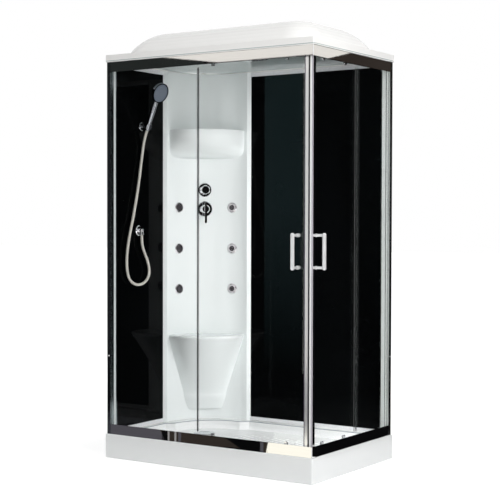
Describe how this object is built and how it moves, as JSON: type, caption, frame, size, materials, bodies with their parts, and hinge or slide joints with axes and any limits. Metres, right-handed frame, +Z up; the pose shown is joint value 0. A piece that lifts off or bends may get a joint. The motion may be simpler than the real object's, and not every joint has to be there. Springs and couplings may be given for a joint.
{
  "type": "hydromassage shower cabin",
  "caption": "Closed corner shower cabin with low tray, sliding glass doors on two faces, black glass walls, a moulded column with seat and shelf, body jets and a domed roof.",
  "frame": {"origin": "on the floor, at the middle of the tray, under the middle foot", "axes": "+X to the right along the long glazed front, +Y to the back wall, +Z up"},
  "size_m": [1.2275, 0.8275, 2.13],
  "materials": {
    "black_feet": "matte",
    "black_glass": "polished",
    "brass_valve": "satin",
    "chrome_drain": "polished",
    "chrome_fittings": "polished",
    "chrome_handset": "polished",
    "chrome_rollers": "polished",
    "clear_glass": "clear",
    "clear_seal": "satin",
    "grey_spray_face": "satin",
    "jet_inserts": "gloss",
    "pipe_plastic": "satin",
    "polished_aluminium": "polished",
    "silver_hose": "satin",
    "waste_plastic": "satin",
    "white_acrylic": "gloss",
    "white_caps": "gloss",
    "white_trim": "gloss",
    "white_wheels": "satin",
    "zinc_steel": "satin"
  },
  "bodies": {
    "cabin": {"tray": "white_acrylic", "tray_frame": "zinc_steel", "levelling_feet": "black_feet", "waste_flange": "chrome_drain", "waste_trap": "waste_plastic", "front_bottom_rail": "polished_aluminium", "front_top_rail": "polished_aluminium", "side_bottom_rail": "polished_aluminium", "side_top_rail": "polished_aluminium", "front_wall_post": "polished_aluminium", "side_wall_post": "polished_aluminium", "front_fixed_glass": "clear_glass", "side_fixed_glass": "clear_glass", "fixed_glass_seals": "clear_seal", "corner_brackets": "polished_aluminium", "post_screws": "white_caps", "left_wall_panel": "black_glass", "back_wall_panel": "black_glass", "panel_trims": "white_trim", "back_column": "white_acrylic", "roof": "white_acrylic", "valve_plates": "chrome_fittings", "valve_body": "brass_valve", "jet_bezels": "chrome_fittings", "water_pipes": "pipe_plastic", "rain_shower_pipe": "brass_valve", "rain_shower_head": "chrome_fittings", "wall_elbow": "chrome_fittings", "shower_bracket": "chrome_fittings", "shower_hose": "silver_hose"},
    "front_door": {"front_door_glass": "clear_glass", "front_closing_profile": "polished_aluminium", "front_door_seals": "clear_seal", "front_door_handles": "chrome_fittings", "front_roller_carriers": "chrome_rollers"},
    "side_door": {"side_door_glass": "clear_glass", "side_closing_profile": "polished_aluminium", "side_door_seals": "clear_seal", "side_door_handles": "chrome_fittings", "side_roller_carriers": "chrome_rollers"},
    "drain_cover": {"drain_cover": "chrome_drain"},
    "mixer_cap": {"mixer_cap": "chrome_fittings"},
    "mixer_lever": {"mixer_lever": "chrome_fittings"},
    "diverter_knob": {"diverter_knob": "chrome_fittings"},
    "hand_shower": {"handset_body": "chrome_handset", "handset_plate": "grey_spray_face"},
    "front_wheel_1": {"front_wheel_1": "white_wheels"},
    "front_wheel_2": {"front_wheel_2": "white_wheels"},
    "front_wheel_3": {"front_wheel_3": "white_wheels"},
    "front_wheel_4": {"front_wheel_4": "white_wheels"},
    "side_wheel_1": {"side_wheel_1": "white_wheels"},
    "side_wheel_2": {"side_wheel_2": "white_wheels"},
    "side_wheel_3": {"side_wheel_3": "white_wheels"},
    "side_wheel_4": {"side_wheel_4": "white_wheels"},
    "jet_nozzle_1": {"jet_nozzle_1": "jet_inserts"},
    "jet_nozzle_2": {"jet_nozzle_2": "jet_inserts"},
    "jet_nozzle_3": {"jet_nozzle_3": "jet_inserts"},
    "jet_nozzle_4": {"jet_nozzle_4": "jet_inserts"},
    "jet_nozzle_5": {"jet_nozzle_5": "jet_inserts"},
    "jet_nozzle_6": {"jet_nozzle_6": "jet_inserts"}
  },
  "joints": [
    {"name": "front_door_slide", "type": "slide", "parent": "cabin", "child": "front_door", "axis": [-1, 0, 0], "range_m": [0, 0.5]},
    {"name": "side_door_slide", "type": "slide", "parent": "cabin", "child": "side_door", "axis": [0, 1, 0], "range_m": [0, 0.285]},
    {"name": "front_wheel_1_spin", "type": "hinge", "parent": "front_door", "child": "front_wheel_1", "pos_m": [0.036, -0.364, 1.96639], "axis": [0, -1, 0], "range_deg": [-5, 3140]},
    {"name": "front_wheel_2_spin", "type": "hinge", "parent": "front_door", "child": "front_wheel_2", "pos_m": [0.445, -0.364, 1.96639], "axis": [0, -1, 0], "range_deg": [-5, 3140]},
    {"name": "front_wheel_3_spin", "type": "hinge", "parent": "front_door", "child": "front_wheel_3", "pos_m": [0.036, -0.364, 0.15039], "axis": [0, -1, 0], "range_deg": [-5, 3140]},
    {"name": "front_wheel_4_spin", "type": "hinge", "parent": "front_door", "child": "front_wheel_4", "pos_m": [0.445, -0.364, 0.15039], "axis": [0, -1, 0], "range_deg": [-5, 3140]},
    {"name": "side_wheel_1_spin", "type": "hinge", "parent": "side_door", "child": "side_wheel_1", "pos_m": [0.564, -0.06, 1.96639], "axis": [-1, 0, 0], "range_deg": [-5, 1795]},
    {"name": "side_wheel_2_spin", "type": "hinge", "parent": "side_door", "child": "side_wheel_2", "pos_m": [0.564, -0.267, 1.96639], "axis": [-1, 0, 0], "range_deg": [-5, 1795]},
    {"name": "side_wheel_3_spin", "type": "hinge", "parent": "side_door", "child": "side_wheel_3", "pos_m": [0.564, -0.06, 0.15039], "axis": [-1, 0, 0], "range_deg": [-5, 1795]},
    {"name": "side_wheel_4_spin", "type": "hinge", "parent": "side_door", "child": "side_wheel_4", "pos_m": [0.564, -0.267, 0.15039], "axis": [-1, 0, 0], "range_deg": [-5, 1795]},
    {"name": "mixer_turn", "type": "hinge", "parent": "cabin", "child": "mixer_cap", "pos_m": [-0.46757, 0.28126, 1.258], "axis": [0.6857, -0.7279, 0], "range_deg": [-45, 45]},
    {"name": "mixer_lever_lift", "type": "hinge", "parent": "mixer_cap", "child": "mixer_lever", "pos_m": [-0.44371, 0.25593, 1.278], "axis": [-0.7279, -0.6857, 0], "range_deg": [0, 22]},
    {"name": "diverter_turn", "type": "hinge", "parent": "cabin", "child": "diverter_knob", "pos_m": [-0.46825, 0.28199, 1.361], "axis": [0.6857, -0.7279, 0], "range_deg": [-90, 90]},
    {"name": "jet_nozzle_1_tilt", "type": "hinge", "parent": "cabin", "child": "jet_nozzle_1", "pos_m": [-0.55344, 0.16065, 0.829], "axis": [0.2774, 0.9608, 0], "range_deg": [-10, 10]},
    {"name": "jet_nozzle_2_tilt", "type": "hinge", "parent": "cabin", "child": "jet_nozzle_2", "pos_m": [-0.34204, 0.35979, 0.829], "axis": [0.9756, 0.2196, 0], "range_deg": [-10, 10]},
    {"name": "jet_nozzle_3_tilt", "type": "hinge", "parent": "cabin", "child": "jet_nozzle_3", "pos_m": [-0.55344, 0.16065, 1.046], "axis": [0.2774, 0.9608, 0], "range_deg": [-10, 10]},
    {"name": "jet_nozzle_4_tilt", "type": "hinge", "parent": "cabin", "child": "jet_nozzle_4", "pos_m": [-0.34204, 0.35979, 1.046], "axis": [0.9756, 0.2196, 0], "range_deg": [-10, 10]},
    {"name": "jet_nozzle_5_tilt", "type": "hinge", "parent": "cabin", "child": "jet_nozzle_5", "pos_m": [-0.55344, 0.16065, 1.266], "axis": [0.2774, 0.9608, 0], "range_deg": [-10, 10]},
    {"name": "jet_nozzle_6_tilt", "type": "hinge", "parent": "cabin", "child": "jet_nozzle_6", "pos_m": [-0.34204, 0.35979, 1.266], "axis": [0.9756, 0.2196, 0], "range_deg": [-10, 10]},
    {"name": "hand_shower_lift", "type": "slide", "parent": "cabin", "child": "hand_shower", "axis": [0.3697, 0, 0.9291], "range_m": [0, 0.05]},
    {"name": "drain_cover_lift", "type": "slide", "parent": "cabin", "child": "drain_cover", "axis": [0, 0, 1], "range_m": [0, 0.04]}
  ],
  "couplings": [
    {"joint": "front_wheel_1_spin", "follows": "front_door_slide", "rad_per_m": 109.38},
    {"joint": "front_wheel_2_spin", "follows": "front_door_slide", "rad_per_m": 109.38},
    {"joint": "front_wheel_3_spin", "follows": "front_door_slide", "rad_per_m": 109.38},
    {"joint": "front_wheel_4_spin", "follows": "front_door_slide", "rad_per_m": 109.38},
    {"joint": "side_wheel_1_spin", "follows": "side_door_slide", "rad_per_m": 109.38},
    {"joint": "side_wheel_2_spin", "follows": "side_door_slide", "rad_per_m": 109.38},
    {"joint": "side_wheel_3_spin", "follows": "side_door_slide", "rad_per_m": 109.38},
    {"joint": "side_wheel_4_spin", "follows": "side_door_slide", "rad_per_m": 109.38}
  ]
}
